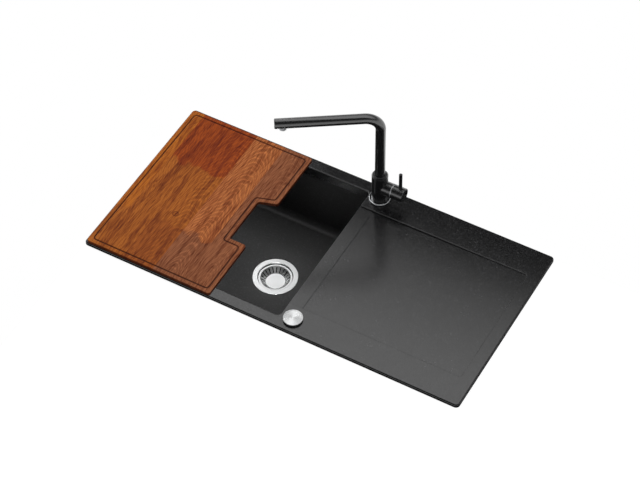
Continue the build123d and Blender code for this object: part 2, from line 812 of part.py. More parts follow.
cover_face = overflow_plane.offset(overflow_cover_thickness)
screw_depth = (
    overflow_cover_thickness
    + bowl_wall * cos(radians(bowl_draft))
    + overflow_gasket_thickness
    + overflow_flange_thickness
    + overflow_bridge_depth
)
with BuildPart() as overflow_screw:
    with BuildSketch(cover_face):
        Circle(overflow_screw_radius)
    extrude(amount=-screw_depth)
    with BuildSketch(cover_face):
        Circle(overflow_screw_head_radius)
    extrude(amount=overflow_screw_head_height)
    fillet(overflow_screw.edges().sort_by(Axis.X)[0], overflow_screw_head_edge)
save(overflow_screw, "overflow_screw")

# Push button: a steel cap on a plunger that slides in a threaded sleeve, with a return spring below it.
deck_thickness = rim_height + slab_drop
flange_top = control_gasket_thickness + sleeve_flange_thickness
button_low = flange_top + press_travel + contact_gap
button_top = button_low + button_thickness
plunger_low = button_low - plunger_length
spring_top = plunger_low + plunger_pocket_depth
sleeve_low = flange_top - sleeve_length
spring_seat = sleeve_low + sleeve_floor
with BuildPart() as control_gasket:
    lathe(
        control_section,
        control_axis,
        ring_points(sleeve_radius + fit_gap, sleeve_flange_radius, 0, control_gasket_thickness),
    )
save(control_gasket, "control_gasket")

with BuildPart() as control_sleeve:
    lathe(
        control_section,
        control_axis,
        [
            (gland_neck_radius + fit_gap, sleeve_low),
            (sleeve_radius, sleeve_low),
            (sleeve_radius, control_gasket_thickness),
            (sleeve_flange_radius, control_gasket_thickness),
            (sleeve_flange_radius, flange_top),
            (plunger_radius + running_gap, flange_top),
            (plunger_radius + running_gap, spring_seat),
            (gland_neck_radius + fit_gap, spring_seat),
        ],
    )
save(control_sleeve, "control_sleeve")

with BuildPart() as control_button:
    lathe(
        control_section,
        control_axis,
        [
            (0, spring_top),
            (plunger_pocket_radius, spring_top),
            (plunger_pocket_radius, plunger_low),
            (plunger_radius, plunger_low),
            (plunger_radius, button_low),
            (button_radius - button_skirt, button_low),
            (button_radius - button_skirt, button_low - button_skirt_drop),
            (button_radius, button_low - button_skirt_drop),
            (button_radius, button_top),
            (button_radius - button_border, button_top),
            (button_radius - button_border, button_top - button_recess),
            (0, button_top - button_recess),
        ],
    )
    fillet(control_button.edges().group_by(Axis.Z)[-1].sort_by(SortBy.RADIUS)[-1], button_edge_radius)
save(control_button, "control_button")

with BuildPart() as control_washer:
    lathe(
        control_section,
        control_axis,
        ring_points(
            sleeve_radius + fit_gap,
            control_washer_radius,
            -deck_thickness - control_washer_thickness,
            -deck_thickness,
        ),
    )
save(control_washer, "control_washer")

nut_top_z = underside_z - control_washer_thickness
with BuildPart() as control_nut:
    with BuildSketch(Plane(origin=(control_x, control_y, nut_top_z))):
        RegularPolygon(control_nut_radius, 6)
        Circle(sleeve_radius + fit_gap, mode=Mode.SUBTRACT)
    extrude(amount=-control_nut_height)
save(control_nut, "control_nut")

with BuildPart() as control_cable_gland:
    lathe(
        control_section,
        control_axis,
        [
            (cable_bore_radius, sleeve_low - gland_length),
            (gland_radius, sleeve_low - gland_length),
            (gland_radius, sleeve_low),
            (gland_neck_radius, sleeve_low),
            (gland_neck_radius, spring_seat),
            (cable_bore_radius, spring_seat),
        ],
    )
save(control_cable_gland, "control_cable_gland")

# Return spring: half turns, each a flat half circle tilted by half the pitch, so that they join smoothly.
spring_low_z = deck_z + spring_seat + spring_wire_radius + fit_gap
spring_high_z = deck_z + spring_top - spring_wire_radius - fit_gap
half_rise = (spring_high_z - spring_low_z) / (2 * spring_turns)
with BuildPart() as control_spring:
    with BuildLine() as wire:
        for i in range(2 * spring_turns):
            side = 1 if i % 2 == 0 else -1
            z = spring_low_z + i * half_rise
            ThreePointArc(
                (control_x + side * spring_radius, control_y, z),
                (control_x, control_y + side * spring_radius, z + half_rise / 2),
                (control_x - side * spring_radius, control_y, z + half_rise),
            )
    with BuildSketch(Plane(origin=wire.wire() @ 0, z_dir=wire.wire() % 0)):
        Circle(spring_wire_radius)
    sweep(path=wire.wire())
save(control_spring, "control_spring")

# Tap fixing: the base ring and gasket above the deck, a stud with a horseshoe plate and nut below it.
ring_low = tap_gasket_thickness
ring_top = tap_gasket_thickness + base_ring_height
with BuildPart() as tap_base_gasket:
    lathe(
        tap_section,
        tap_axis,
        ring_points(tap_spigot_radius + contact_gap, tap_gasket_radius, 0, tap_gasket_thickness),
    )
save(tap_base_gasket, "tap_base_gasket")

with BuildPart() as tap_base_ring:
    base_ring = ring_points(tap_spigot_radius + fit_gap, base_ring_radius, ring_low, ring_top)
    lathe(tap_section, tap_axis, base_ring)
    fillet(tap_base_ring.edges().group_by(Axis.Z)[-1].sort_by(SortBy.RADIUS)[-1], base_ring_edge)
save(tap_base_ring, "tap_base_ring")

# Tap body: a turned brass column with the mixer arm, bored for the spout, the cartridge and the inlets.
spigot_low = ring_top - tap_spigot_length
socket_low = tap_body_top - spout_socket_depth
socket_radius = spout_radius + running_gap
bush_radius = socket_radius + bush_wall
cartridge_low = arm_length - cartridge_depth
nut_thread_low = arm_length - nut_thread_length
inlet_plane = Plane(origin=(tap_x, tap_y, deck_z + spigot_low))
inlet_places = [(inlet_offset, inlet_spread), (inlet_offset, -inlet_spread)]
spout_screw_z = deck_z + socket_low + retaining_groove_height
spout_screw_plane = Plane(origin=(tap_x, tap_y, spout_screw_z), x_dir=(1, 0, 0), z_dir=(0, 1, 0))
with BuildPart() as tap_body:
    lathe(
        tap_section,
        tap_axis,
        [
            (0, spigot_low),
            (tap_spigot_radius, spigot_low),
            (tap_spigot_radius, ring_top),
            (tap_body_radius, ring_top),
            (tap_body_radius, tap_body_top - tap_shoulder),
            (tap_body_radius - tap_shoulder, tap_body_top),
            (0, tap_body_top),
        ],
    )
    lathe(arm_section, arm_axis, ring_points(0, arm_radius, 0, arm_length))
    lathe(tap_section, tap_axis, ring_points(0, socket_radius, socket_low, tap_body_top), Mode.SUBTRACT)
    bush_seat = ring_points(0, bush_radius, tap_body_top - bush_height, tap_body_top)
    lathe(tap_section, tap_axis, bush_seat, Mode.SUBTRACT)
    lathe(arm_section, arm_axis, ring_points(0, cartridge_radius, cartridge_low, arm_length), Mode.SUBTRACT)
    lathe(arm_section, arm_axis, ring_points(0, nut_thread_radius, nut_thread_low, arm_length), Mode.SUBTRACT)
    with BuildSketch(inlet_plane):
        with Locations(*inlet_places):
            Circle(inlet_channel_radius)
    extrude(amount=arm_height - spigot_low - cartridge_radius / 2, mode=Mode.SUBTRACT)
    with BuildSketch(inlet_plane):
        with Locations(*inlet_places):
            Circle(inlet_radius)
    extrude(amount=inlet_depth, mode=Mode.SUBTRACT)
    with BuildSketch(inlet_plane):
        with Locations((-stud_offset, 0)):
            Circle(stud_radius + fit_gap)
    extrude(amount=stud_socket, mode=Mode.SUBTRACT)
    with BuildSketch(Plane(origin=(tap_x + inlet_offset, tap_y, deck_z + arm_height))):
        Circle(inlet_channel_radius)
    extrude(amount=socket_low - arm_height + overrun, mode=Mode.SUBTRACT)
    with BuildSketch(spout_screw_plane):
        Circle(spout_screw_radius + fit_gap)
    extrude(amount=tap_body_radius + overrun, mode=Mode.SUBTRACT)
save(tap_body, "tap_body")

with BuildPart() as tap_stud:
    with BuildSketch(inlet_plane.offset(stud_socket)):
        with Locations((-stud_offset, 0)):
            Circle(stud_radius)
    extrude(amount=-stud_length)
save(tap_stud, "tap_stud")


def horseshoe(top_z, thickness):
    """A plate round the tap's hole, open on one side for the two supply pipes."""
    with BuildPart() as plate:
        with BuildSketch(Plane(origin=(tap_x, tap_y, top_z))):
            Circle(horseshoe_radius)
            with Locations((horseshoe_slot_offset, 0)):
                Circle(horseshoe_slot, mode=Mode.SUBTRACT)
            with Locations((horseshoe_slot_offset + horseshoe_radius / 2, 0)):
                Rectangle(horseshoe_radius, 2 * horseshoe_slot, mode=Mode.SUBTRACT)
            with Locations((-stud_offset, 0)):
                Circle(stud_radius + contact_gap, mode=Mode.SUBTRACT)
        extrude(amount=-thickness)
    return plate


horseshoe_washer = horseshoe(underside_z, horseshoe_washer_thickness)
save(horseshoe_washer, "horseshoe_washer")
plate_top_z = underside_z - horseshoe_washer_thickness
horseshoe_plate = horseshoe(plate_top_z, horseshoe_plate_thickness)
save(horseshoe_plate, "horseshoe_plate")

with BuildPart() as stud_nut:
    with BuildSketch(Plane(origin=(tap_x, tap_y, plate_top_z - horseshoe_plate_thickness))):
        with Locations((-stud_offset, 0)):
            RegularPolygon(stud_nut_flats / 2, 6, major_radius=False)
            Circle(stud_radius + fit_gap, mode=Mode.SUBTRACT)
    extrude(amount=-stud_nut_height)
save(stud_nut, "stud_nut")

# Spout: a bent tube that turns in the body, held down by a grub screw in its groove.
spout_way = (-cos(radians(spout_turn)), -sin(radians(spout_turn)), 0)
spout_plane = Plane(origin=(tap_x, tap_y, deck_z), x_dir=spout_way, z_dir=(spout_way[1], -spout_way[0], 0))
spout_foot = socket_low + contact_gap
aerator_reach = spout_reach - aerator_from_end
aerator_x = tap_x + spout_way[0] * aerator_reach
aerator_y = tap_y + spout_way[1] * aerator_reach
aerator_low = spout_height - spout_radius - aerator_drop
aerator_top = spout_height - spout_radius + aerator_insertion
aerator_section = Plane(origin=(aerator_x, aerator_y, deck_z), x_dir=(1, 0, 0), z_dir=(0, -1, 0))
aerator_axis = Axis((aerator_x, aerator_y, 0), (0, 0, 1))


def spout_tube(radius, foot, reach, mode):
    """Sweep a round section up the riser, round the bend and along the spout."""
    with BuildLine(spout_plane) as route:
        FilletPolyline((0, foot), (0, spout_height), (reach, spout_height), radius=spout_bend)
    with BuildSketch(Plane(origin=route.wire() @ 0, z_dir=route.wire() % 0)) as section:
        Circle(radius)
    sweep(section.sketch, path=route.wire(), mode=mode)


o_ring_groove = 2 * o_ring_radius + contact_gap
with BuildPart() as spout:
    spout_tube(spout_radius, spout_foot, spout_reach, Mode.ADD)
    spout_end = spout.faces().sort_by(Axis(spout_plane.origin, spout_way))[-1]
    fillet(spout_end.edges(), spout_end_radius)
    spout_tube(spout_radius - spout_wall, spout_foot, spout_reach - spout_end_wall, Mode.SUBTRACT)
    for height in o_ring_heights:
        low = spout_foot + height - o_ring_groove / 2
        lathe(
            tap_section,
            tap_axis,
            ring_points(spout_radius - o_ring_groove, spout_radius + overrun, low, low + o_ring_groove),
            Mode.SUBTRACT,
        )
    low = socket_low + retaining_groove_height - retaining_groove_width / 2
    lathe(
        tap_section,
        tap_axis,
        ring_points(
            spout_radius - retaining_groove_depth,
            spout_radius + overrun,
            low,
            low + retaining_groove_width,
        ),
        Mode.SUBTRACT,
    )
    lathe(
        aerator_section,
        aerator_axis,
        ring_points(0, aerator_radius + fit_gap, aerator_low, aerator_top),
        Mode.SUBTRACT,
    )
save(spout, "spout")

with BuildPart() as spout_o_rings:
    for height in o_ring_heights:
        with Locations((tap_x, tap_y, deck_z + spout_foot + height)):
            Torus(spout_radius - o_ring_groove + fit_gap + o_ring_radius, o_ring_radius)
save(spout_o_rings, "spout_o_rings")

with BuildPart() as spout_bush:
    lathe(
        tap_section,
        tap_axis,
        ring_points(socket_radius, bush_radius - fit_gap, tap_body_top - bush_height, tap_body_top),
    )
save(spout_bush, "spout_bush")

spout_screw_tip = spout_radius - retaining_groove_depth + contact_gap
with BuildPart() as spout_set_screw:
    with BuildSketch(spout_screw_plane.offset(spout_screw_tip)):
        Circle(spout_screw_radius)
    extrude(amount=tap_body_radius - spout_screw_recess - spout_screw_tip)
save(spout_set_screw, "spout_set_screw")

with BuildPart() as aerator_ring:
    lathe(
        aerator_section,
        aerator_axis,
        ring_points(aerator_radius - aerator_wall, aerator_radius, aerator_low, aerator_top),
    )
save(aerator_ring, "aerator_ring")

screen_low_z = deck_z + aerator_low + aerator_sheet / 2
with BuildPart() as aerator_screen:
    with BuildSketch(Plane(origin=(aerator_x, aerator_y, screen_low_z))):
        Circle(aerator_radius - aerator_wall - fit_gap)
        Circle(aerator_hole_radius, mode=Mode.SUBTRACT)
        for circle, count in zip(aerator_hole_circles, aerator_hole_counts):
            with PolarLocations(circle, count):
                Circle(aerator_hole_radius, mode=Mode.SUBTRACT)
    extrude(amount=aerator_sheet)
save(aerator_screen, "aerator_screen")

# Cartridge: a moulded housing with two ceramic discs and the rotor that the lever turns.
fixed_disc_low = cartridge_low + cartridge_base
moving_disc_low = fixed_disc_low + disc_thickness + contact_gap / 2
rotor_low = moving_disc_low + disc_thickness
rotor_bore_radius = rotor_radius + running_gap
with BuildPart() as cartridge_body:
    lathe(
        arm_section,
        arm_axis,
        [
            (0, cartridge_low),
            (cartridge_radius - fit_gap, cartridge_low),
            (cartridge_radius - fit_gap, nut_thread_low),
            (rotor_bore_radius, nut_thread_low),
            (rotor_bore_radius, rotor_low + contact_gap),
            (disc_radius + contact_gap, rotor_low + contact_gap),
            (disc_radius + contact_gap, fixed_disc_low),
            (0, fixed_disc_low),
        ],
    )
    with BuildSketch(arm_plane.offset(cartridge_low)):
        with PolarLocations(disc_port_circle, disc_ports):
            Circle(disc_port_radius)
    extrude(amount=cartridge_base, mode=Mode.SUBTRACT)
save(cartridge_body, "cartridge_body")

with BuildPart() as fixed_disc:
    with BuildSketch(arm_plane.offset(fixed_disc_low)):
        Circle(disc_radius)
        with PolarLocations(disc_port_circle, disc_ports):
            Circle(disc_port_radius, mode=Mode.SUBTRACT)
    extrude(amount=disc_thickness)
save(fixed_disc, "fixed_disc")

with BuildPart() as moving_disc:
    with BuildSketch(arm_plane.offset(moving_disc_low)):
        Circle(disc_radius)
    extrude(amount=disc_thickness)
save(moving_disc, "moving_disc")

pivot_origin = (tap_x + pivot_from_tap, tap_y, deck_z + arm_height)
pivot_plane = Plane(origin=pivot_origin, x_dir=(1, 0, 0), z_dir=(0, 1, 0))
with BuildPart() as cartridge_rotor:
    lathe(arm_section, arm_axis, ring_points(0, rotor_radius, rotor_low, rotor_low + rotor_length))
    with BuildSketch(arm_plane.offset(rotor_low + rotor_base)):
        Rectangle(stem_size + 2 * stem_slot_gap, 2 * rotor_radius + overrun)
    extrude(amount=rotor_length - rotor_base, mode=Mode.SUBTRACT)
    with BuildSketch(pivot_plane):
        Circle(pivot_pin_radius + fit_gap)
    extrude(amount=rotor_radius + overrun, both=True, mode=Mode.SUBTRACT)
save(cartridge_rotor, "cartridge_rotor")

with BuildPart() as lever_pivot_pin:
    with BuildSketch(pivot_plane):
        Circle(pivot_pin_radius)
    extrude(amount=rotor_radius - 2 * contact_gap, both=True)
save(lever_pivot_pin, "lever_pivot_pin")

# Cartridge nut: the bright ring in the gap between arm and lever.
ring_end = arm_length + nut_ring_length
nose_end = ring_end + nut_nose_length
with BuildPart() as cartridge_nut:
    lathe(
        arm_section,
        arm_axis,
        [
            (nut_bore_radius, nut_thread_low),
            (nut_thread_radius - fit_gap, nut_thread_low),
            (nut_thread_radius - fit_gap, arm_length),
            (nut_ring_radius, arm_length),
            (nut_ring_radius, ring_end),
            (nut_bore_radius + nut_nose_length, nose_end),
            (nut_bore_radius, nose_end),
        ],
    )
save(cartridge_nut, "cartridge_nut")

# Lever: a cup-ended hub on a square stem that tips in the rotor, with the pin that the hand moves.
hub_low = arm_length + hub_gap
hub_end = hub_low + hub_length
cup_floor = hub_low + hub_cup_depth
with BuildPart() as lever_stem:
    with BuildSketch(arm_plane.offset(pivot_from_tap - stem_tail)):
        Rectangle(stem_size, stem_size)
    extrude(amount=cup_floor + stem_grip - pivot_from_tap + stem_tail)
    with BuildSketch(pivot_plane):
        Circle(pivot_pin_radius + running_gap)
    extrude(amount=stem_size, both=True, mode=Mode.SUBTRACT)
save(lever_stem, "lever_stem")

pin_seat_z = arm_height + hub_radius - lever_pin_seat
pin_seat_plane = Plane(origin=(tap_x + lever_pin_from_tap, tap_y, deck_z + pin_seat_z))
set_screw_plane = Plane(
    origin=(tap_x + set_screw_from_tap, tap_y, deck_z + arm_height - stem_size / 2 - fit_gap),
    z_dir=(0, 0, -1),
)
with BuildPart() as lever_hub:
    lathe(
        arm_section,
        arm_axis,
        [
            (hub_radius - hub_wall, hub_low),
            (hub_radius, hub_low),
            (hub_radius, hub_end),
            (0, hub_end),
            (0, cup_floor),
            (hub_radius - hub_wall, cup_floor),
        ],
    )
    fillet(lever_hub.edges().sort_by(Axis.X)[-1], hub_edge_radius)
    with BuildSketch(arm_plane.offset(cup_floor)):
        Rectangle(stem_size + 2 * fit_gap, stem_size + 2 * fit_gap)
    extrude(amount=stem_grip + fit_gap, mode=Mode.SUBTRACT)
    with BuildSketch(pin_seat_plane):
        Circle(lever_pin_radius + fit_gap)
    extrude(amount=lever_pin_seat + overrun, mode=Mode.SUBTRACT)
    with BuildSketch(set_screw_plane):
        Circle(set_screw_radius + fit_gap)
    extrude(amount=hub_radius, mode=Mode.SUBTRACT)
save(lever_hub, "lever_hub")

with BuildPart() as lever_pin:
    with BuildSketch(pin_seat_plane):
        Circle(lever_pin_radius)
    extrude(amount=lever_pin_top - pin_seat_z)
    chamfer(lever_pin.edges().group_by(Axis.Z)[-1], lever_pin_chamfer)
save(lever_pin, "lever_pin")

with BuildPart() as lever_set_screw:
    with BuildSketch(set_screw_plane):
        Circle(set_screw_radius)
    extrude(amount=hub_radius - stem_size / 2 - fit_gap - set_screw_recess)
save(lever_set_screw, "lever_set_screw")

# Chopping board: lies loose across the rim, with a notch in its free end and a juice groove round its top.
board_left_x = board_left_gap - sink_length / 2
board_right_x = board_left_x + board_length
board_front_y = board_front_gap - sink_width / 2
board_back_y = board_front_y + board_depth
notch_x = board_right_x - notch_depth
notch_front_y = board_front_y + notch_from_front
notch_back_y = notch_front_y + notch_width
board_top_z = deck_z + board_thickness


def board_outline(plane, inset, corner, notch_front, notch_back):
    """The board's outline, drawn in by the inset, with rounded corners."""
    with BuildSketch(plane) as outline:
        with BuildLine():
            Polyline(
                (board_left_x, board_front_y),
                (board_right_x, board_front_y),
                (board_right_x, notch_front_y),
                (notch_x, notch_front_y),
                (notch_x, notch_back_y),
                (board_right_x, notch_back_y + notch_slant),
                (board_right_x, board_back_y),
                (board_left_x, board_back_y),
                close=True,
            )
        make_face()
        if inset:
            offset(amount=-inset, kind=Kind.INTERSECTION)
        inner_x = notch_x - inset
        fillet(outline.vertices().filter_by(lambda v: abs(v.X - inner_x) > same_place), corner)
        inner_edge = outline.vertices().filter_by(lambda v: abs(v.X - inner_x) < same_place)
        fillet(inner_edge.sort_by(Axis.Y)[0], notch_front)
        inner_edge = outline.vertices().filter_by(lambda v: abs(v.X - inner_x) < same_place)
        fillet(inner_edge.sort_by(Axis.Y)[-1], notch_back)
    return outline.sketch


groove_plane = Plane.XY.offset(board_top_z + groove_radius - groove_depth)
with BuildPart() as chopping_board:
    add(board_outline(Plane.XY.offset(deck_z), 0, board_corner_radius, notch_front_radius, notch_back_radius))
    extrude(amount=board_thickness)
    fillet(chopping_board.edges().group_by(Axis.Z)[-1], board_edge_radius)
    fillet(chopping_board.edges().group_by(Axis.Z)[0], board_edge_radius)
    groove_route = board_outline(
        groove_plane, groove_inset, groove_corner_radius, groove_corner_radius, notch_back_radius
    ).face().outer_wire()
    with BuildSketch(Plane(origin=groove_route @ 0, z_dir=groove_route % 0)):
        Circle(groove_radius)
    sweep(path=groove_route, mode=Mode.SUBTRACT)
save(chopping_board, "chopping_board")
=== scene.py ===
from math import pi, radians

import bmesh
import bpy
from mathutils import Matrix, Vector


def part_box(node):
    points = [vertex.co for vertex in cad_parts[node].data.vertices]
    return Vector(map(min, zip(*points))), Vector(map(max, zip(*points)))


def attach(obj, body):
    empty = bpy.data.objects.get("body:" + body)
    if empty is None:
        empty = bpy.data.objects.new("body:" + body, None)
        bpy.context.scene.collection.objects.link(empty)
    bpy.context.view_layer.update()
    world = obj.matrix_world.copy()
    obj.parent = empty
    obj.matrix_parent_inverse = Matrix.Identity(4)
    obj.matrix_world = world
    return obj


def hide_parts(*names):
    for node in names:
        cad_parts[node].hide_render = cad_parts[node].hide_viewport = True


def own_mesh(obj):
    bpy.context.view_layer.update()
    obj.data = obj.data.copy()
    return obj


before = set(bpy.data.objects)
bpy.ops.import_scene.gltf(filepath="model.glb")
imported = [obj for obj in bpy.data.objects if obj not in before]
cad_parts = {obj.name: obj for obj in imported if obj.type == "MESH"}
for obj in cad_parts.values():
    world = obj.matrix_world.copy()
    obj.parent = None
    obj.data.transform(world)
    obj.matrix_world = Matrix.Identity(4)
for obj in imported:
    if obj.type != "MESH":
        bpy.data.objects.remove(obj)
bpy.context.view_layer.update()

# Sink casting: black granite composite, quartz grit bound in acrylic resin and cast in one piece.
# The mould leaves it satin, with a fine grit that shows as pale specks in the black resin.
# The grit is under a millimetre across: it is drawn 2.4 mm wide, so that it shows.
grit_mm = 2.4
texture_mm = 2.4
cloud_mm = 45


def srgb(code):
    """A hex colour as linear red, green, blue and alpha."""
    channels = [int(code[i:i + 2], 16) / 255 for i in (1, 3, 5)]
    linear = [c / 12.92 if c <= 0.04045 else ((c + 0.055) / 1.055) ** 2.4 for c in channels]
    return (*linear, 1.0)


def add_node(tree, kind, settings=None, **inputs):
    """Add a node, with its settings, and a value or a link for each input named with underscores."""
    made = tree.nodes.new("ShaderNode" + kind)
    for name, value in (settings or {}).items():
        setattr(made, name, value)
    for name, value in inputs.items():
        socket = next(s for s in made.inputs if s.identifier.replace(" ", "_") == name)
        if isinstance(value, bpy.types.NodeSocket):
            tree.links.new(value, socket)
        else:
            socket.default_value = value
    return made


def new_finish(name, **surface):
    """A material whose Principled shader has these values, with its node tree and Object coordinates."""
    finish = bpy.data.materials.new(name)
    finish.use_nodes = True
    tree = finish.node_tree
    shader = tree.nodes["Principled BSDF"]
    for socket, value in surface.items():
        shader.inputs[socket.replace("_", " ")].default_value = value
    place = add_node(tree, "TexCoord").outputs["Object"]
    return finish, tree, shader, place


def per_metre(size_mm):
    """The scale of a pattern whose cells are this wide."""
    return 1000 / size_mm


def set_stops(ramp, *stops):
    """Give a colour ramp its stops, each a place and a hex colour or a grey level."""
    elements = ramp.color_ramp.elements
    while len(elements) < len(stops):
        elements.new(1.0)
    for element, (at, colour) in zip(elements, stops):
        element.position = at
        element.color = (colour, colour, colour, 1.0) if isinstance(colour, float) else srgb(colour)


def dress(finish, *names):
    """Give CAD nodes a finish in place of their packed one."""
    for name in names:
        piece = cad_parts[name]
        piece.data.materials.clear()
        piece.data.materials.append(finish)


granite, tree, shader, place = new_finish("cast_granite_composite", Specular_IOR_Level=1.0)
grit = add_node(tree, "TexVoronoi", Vector=place, Scale=per_metre(grit_mm))
grit_kind = add_node(tree, "SeparateColor", Color=grit.outputs["Color"])
grit_pale = add_node(tree, "ValToRGB", Fac=grit_kind.outputs["Red"])
set_stops(grit_pale, (0.0, "#0a0a0b"), (0.6, "#101011"), (0.9, "#1c1c1d"), (1.0, "#363637"))
cloud = add_node(tree, "TexNoise", Vector=place, Scale=per_metre(cloud_mm), Detail=2.0)
cloud_grey = add_node(tree, "ValToRGB", Fac=cloud.outputs["Fac"])
set_stops(cloud_grey, (0.3, "#d0d0d0"), (0.7, "#ffffff"))
speckled = add_node(tree, "Mix", {"data_type": "RGBA", "blend_type": "MULTIPLY"}, Factor_Float=1.0,
                    A_Color=grit_pale.outputs["Color"], B_Color=cloud_grey.outputs["Color"])
tree.links.new(speckled.outputs[2], shader.inputs["Base Color"])
satin = add_node(tree, "MapRange", Value=grit_kind.outputs["Green"], To_Min=0.17, To_Max=0.25)
# The bowl comes off the mould's core, which leaves it duller than the deck from just below its mouth.
dull_from = -0.012
dull_fully = -0.03
bowl_dullness = 0.34
height = add_node(tree, "SeparateXYZ", Vector=place)
dull = add_node(tree, "MapRange", Value=height.outputs["Z"], From_Min=dull_fully, From_Max=dull_from,
                To_Min=bowl_dullness, To_Max=0.0)
gloss = add_node(tree, "Math", {"operation": "ADD"}, Value=satin.outputs["Result"],
                 Value_001=dull.outputs["Result"])
tree.links.new(gloss.outputs["Value"], shader.inputs["Roughness"])
grain = add_node(tree, "TexNoise", Vector=place, Scale=per_metre(texture_mm), Detail=3.0)
relief = add_node(tree, "Bump", Height=grain.outputs["Fac"], Strength=0.25, Distance=0.0003)
tree.links.new(relief.outputs["Normal"], shader.inputs["Normal"])
dress(granite, "sink_body")

# Chopping board: hardwood staves glued edge to edge along the board, planed, routed and oiled.
# Each stave has its own place in a log, so growth rings come to its face as arches or as streaks.
# It is butted up from shorter blocks, which differ in tone.
board_low, board_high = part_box("chopping_board")
board_length = board_high.x - board_low.x
wood, tree, shader, place = new_finish("oiled_hardwood", Specular_IOR_Level=0.15)
# Where each stave starts across the board, and where the pith of its log lies, across the board and along it.
stave_edges = (-0.493, -0.460, -0.391, -0.308, -0.228)
pith_lines = (-0.400, -0.500, -0.322, -0.262, -0.180)
pith_ends = (-0.9, -0.7, -0.55, -0.34, -0.30)
amber, honey, chestnut = "#c97822", "#bc7027", "#ac6122"
russet, tan, walnut = "#ad5110", "#c57b45", "#a36947"
front_tones = (honey, honey, chestnut, walnut, walnut)
middle_tones = (amber, honey, honey, tan, walnut)
back_tones = (amber, russet, russet, tan, walnut)
axes = add_node(tree, "SeparateXYZ", Vector=place)
across = add_node(tree, "MapRange", Value=axes.outputs["X"], From_Min=board_low.x, From_Max=board_high.x)
edges_across = [(x - board_low.x) / board_length for x in stave_edges]
# The blocks of neighbouring staves end at slightly different places, which a slow noise gives.
front_joint = -0.075
back_joint = 0.112
joint_blur = 0.006
ragged_mm = 40
ragged_reach = 0.08
ragged = add_node(tree, "TexNoise", Vector=place, Scale=per_metre(ragged_mm), Detail=2.0)
uneven = add_node(tree, "Math", {"operation": "MULTIPLY_ADD"}, Value=ragged.outputs["Fac"],
                  Value_001=ragged_reach, Value_002=axes.outputs["Y"])
colour = None
for joint, tones in ((None, front_tones), (front_joint, middle_tones), (back_joint, back_tones)):
    tone = add_node(tree, "ValToRGB", Fac=across.outputs["Result"])
    tone.color_ramp.interpolation = "CONSTANT"
    set_stops(tone, *zip(edges_across, tones))
    if joint is None:
        colour = tone.outputs["Color"]
        continue
    behind = add_node(tree, "MapRange", Value=uneven.outputs["Value"], From_Min=joint - joint_blur,
                      From_Max=joint + joint_blur)
    block = add_node(tree, "Mix", {"data_type": "RGBA"}, Factor_Float=behind.outputs["Result"],
                     A_Color=colour, B_Color=tone.outputs["Color"])
    colour = block.outputs[2]
# A ramp gives shares from 0 to 1, so each pith's place goes in as a share of a span and comes out in metres.
into_log = []
for low, span, piths, axis in ((board_low.x, board_length, pith_lines, "X"), (-1.0, 1.0, pith_ends, "Y")):
    pith = add_node(tree, "ValToRGB", Fac=across.outputs["Result"])
    pith.color_ramp.interpolation = "CONSTANT"
    set_stops(pith, *[(at, (p - low) / span) for at, p in zip(edges_across, piths)])
    pith_place = add_node(tree, "Math", {"operation": "MULTIPLY_ADD"}, Value=pith.outputs["Color"],
                          Value_001=span, Value_002=low)
    from_pith = add_node(tree, "Math", {"operation": "SUBTRACT"}, Value=axes.outputs[axis],
                         Value_001=pith_place.outputs["Value"])
    into_log.append(from_pith.outputs["Value"])
in_log = add_node(tree, "CombineXYZ", X=into_log[0], Y=into_log[1], Z=axes.outputs["Z"])


def stretched(mm_x, mm_y, mm_z):
    """The Mapping scale of a pattern whose cells have these sizes in millimetres."""
    return per_metre(mm_x), per_metre(mm_y), per_metre(mm_z)


# The log grew unevenly: its rings wander by a few millimetres every few centimetres.
wander_cells = stretched(45, 110, 60)
wander_reach = (0.016, 0.05, 0.01)
wander = add_node(tree, "Mapping", Vector=in_log.outputs["Vector"], Scale=wander_cells)
wandering = add_node(tree, "TexNoise", Vector=wander.outputs["Vector"], Scale=1.0, Detail=2.0)
centred = add_node(tree, "VectorMath", {"operation": "SUBTRACT"}, Vector=wandering.outputs["Color"],
                   Vector_001=(0.5, 0.5, 0.5))
grown = add_node(tree, "VectorMath", {"operation": "MULTIPLY_ADD"}, Vector=centred.outputs["Vector"],
                 Vector_001=wander_reach, Vector_002=in_log.outputs["Vector"])
# The stave was sawn at a slant to the log's pith, which would come to the face beyond the board's front.
saw_slant = radians(8)
log = add_node(tree, "Mapping", Vector=grown.outputs["Vector"], Rotation=(saw_slant, 0, 0))
# A wave texture of scale 1 repeats every 2 pi / 20 of a unit.
ring_mm = 2.4
ring_scale = 2 * pi / 20 * per_metre(ring_mm)
rings = add_node(tree, "TexWave", {"wave_type": "RINGS", "rings_direction": "Y"}, Scale=ring_scale,
                 Vector=log.outputs["Vector"], Distortion=1.2, Detail=2.0, Detail_Scale=0.8)
ring_tint = add_node(tree, "ValToRGB", Fac=rings.outputs["Fac"])
set_stops(ring_tint, (0.0, "#cabbad"), (0.7, "#cfc1b4"), (0.97, "#fbf1e8"))
# The rings show most in the stave that was sawn through the middle of its log, and come and go along it.
ring_shares = (0.35, 0.5, 0.6, 0.95, 0.5)
ring_share = add_node(tree, "ValToRGB", Fac=across.outputs["Result"])
ring_share.color_ramp.interpolation = "CONSTANT"
set_stops(ring_share, *zip(edges_across, ring_shares))
patch_mm = 35
patches = add_node(tree, "TexNoise", Vector=place, Scale=per_metre(patch_mm), Detail=1.0)
patch = add_node(tree, "MapRange", Value=patches.outputs["Fac"], From_Min=0.35, From_Max=0.6, To_Min=0.6)
ring_part = add_node(tree, "Math", {"operation": "MULTIPLY"}, Value=ring_share.outputs["Color"],
                     Value_001=patch.outputs["Result"])
plain_wood = srgb("#ddd2c6")
ring_colour = add_node(tree, "Mix", {"data_type": "RGBA"}, Factor_Float=ring_part.outputs["Value"],
                       A_Color=plain_wood, B_Color=ring_tint.outputs["Color"])
